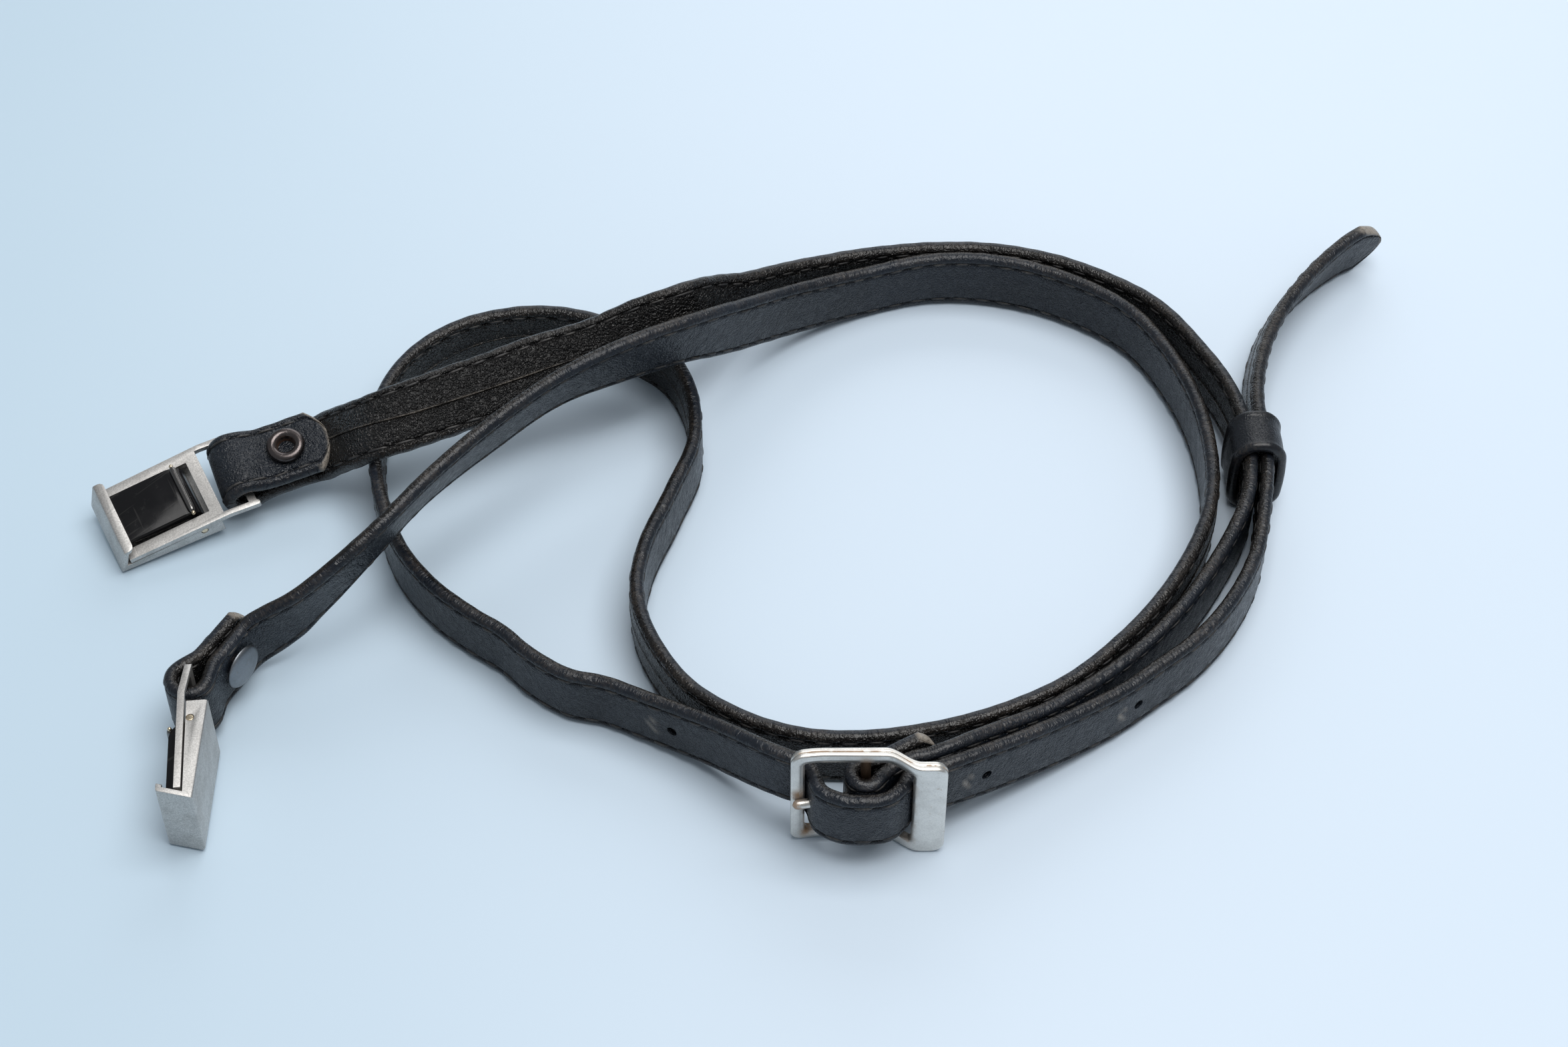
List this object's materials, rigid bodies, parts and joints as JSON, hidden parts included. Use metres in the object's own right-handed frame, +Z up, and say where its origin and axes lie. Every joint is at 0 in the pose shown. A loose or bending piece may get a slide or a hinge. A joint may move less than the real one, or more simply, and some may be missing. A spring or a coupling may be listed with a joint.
{
  "type": "camera neck strap",
  "caption": "Narrow black leather camera neck strap lying in loops, with a pronged buckle, a leather keeper and a spring-gated metal clip on each end.",
  "frame": {"origin": "middle of the object's box in plan, on the floor it lies on", "axes": "+Z up; +X along the longest side of the laid-out strap, from the clips towards the free tail; +Y away from the buckle"},
  "size_m": [0.2278, 0.1348, 0.0278],
  "materials": {
    "strap_leather": "worn satin",
    "clip_nickel": "satin",
    "gate_steel": "gloss black",
    "pin_steel": "bright",
    "rivet_steel": "darkened",
    "buckle_nickel": "worn nickel"
  },
  "bodies": {
    "strap": {"strap_long": "strap_leather", "strap_short": "strap_leather", "keeper": "strap_leather", "rivet_clip_1": "rivet_steel", "rivet_clip_2": "rivet_steel", "clip_1_plate": "clip_nickel", "clip_1_cover": "clip_nickel", "clip_1_pin": "pin_steel", "clip_2_plate": "clip_nickel", "clip_2_cover": "clip_nickel", "clip_2_pin": "pin_steel", "buckle_frame": "buckle_nickel", "buckle_prong": "buckle_nickel"},
    "gate_1": {"clip_1_gate": "gate_steel"},
    "gate_2": {"clip_2_gate": "gate_steel"}
  },
  "joints": [
    {"name": "clip_1_gate_hinge", "type": "hinge", "parent": "strap", "child": "gate_1", "pos_m": [-0.09699, 0.00452, 0.00487], "axis": [0.4626, -0.8663, -0.1884], "range_deg": [0, 8], "stiffness_Nm_per_rad": 0.002, "springref_deg": -5.73},
    {"name": "clip_2_gate_hinge", "type": "hinge", "parent": "strap", "child": "gate_2", "pos_m": [-0.08863, -0.04944, 0.00777], "axis": [0, 0, 1], "range_deg": [0, 8], "stiffness_Nm_per_rad": 0.002, "springref_deg": -5.73}
  ]
}
